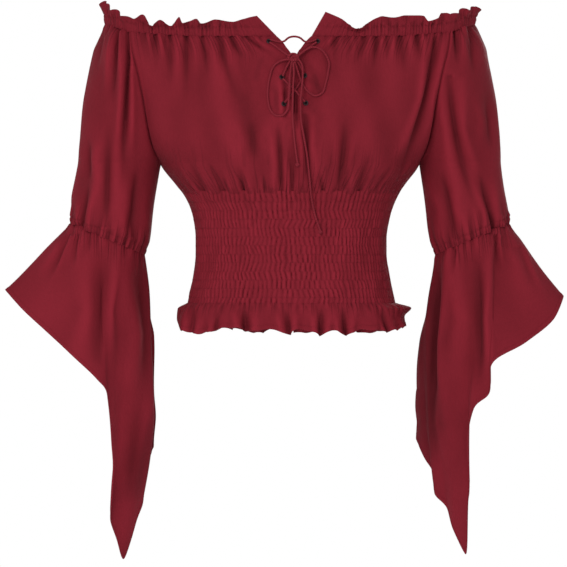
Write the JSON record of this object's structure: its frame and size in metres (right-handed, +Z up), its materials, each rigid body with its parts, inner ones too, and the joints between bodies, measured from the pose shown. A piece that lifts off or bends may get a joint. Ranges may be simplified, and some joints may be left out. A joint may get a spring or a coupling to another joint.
{
  "type": "peasant blouse",
  "caption": "Off-the-shoulder peasant blouse with a frilled, laced neckline, a shirred waist, a ruffled hem and pointed sleeve flounces, in its worn hollow shape.",
  "frame": {"origin": "middle of the neckline opening, at the height of its elastic casing across the chest", "axes": "+Z up, -Y towards the front of the blouse, +X towards the wearer's left"},
  "size_m": [0.701, 0.2445, 0.6984],
  "materials": {
    "cloth": "matt woven cotton, wine red",
    "lace": "thin cloth cord, wine red",
    "eyelet": "small dark metal rings"
  },
  "bodies": {
    "root": {"front": "cloth", "back": "cloth", "sleeve_right": "cloth", "sleeve_left": "cloth", "flounce_right": "cloth", "flounce_left": "cloth", "shirring_front": "cloth", "shirring_back": "cloth", "hem_ruffle_front": "cloth", "hem_ruffle_back": "cloth", "frill_front_right": "cloth", "frill_sleeve_right": "cloth", "frill_front_left": "cloth", "frill_sleeve_left": "cloth", "frill_back": "cloth", "lace_low_right": "lace", "lace_low_left": "lace", "lace_mid_right": "lace", "lace_mid_left": "lace", "lace_top_right": "lace", "lace_top_left": "lace", "lace_arch": "lace", "bow_loop_right": "lace", "bow_loop_left": "lace", "lace_tail_left": "lace", "lace_tail_right": "lace", "lace_knot": "lace", "eyelet_right_1": "eyelet", "eyelet_left_1": "eyelet", "eyelet_right_2": "eyelet", "eyelet_left_2": "eyelet", "eyelet_right_3": "eyelet", "eyelet_left_3": "eyelet"}
  },
  "joints": []
}
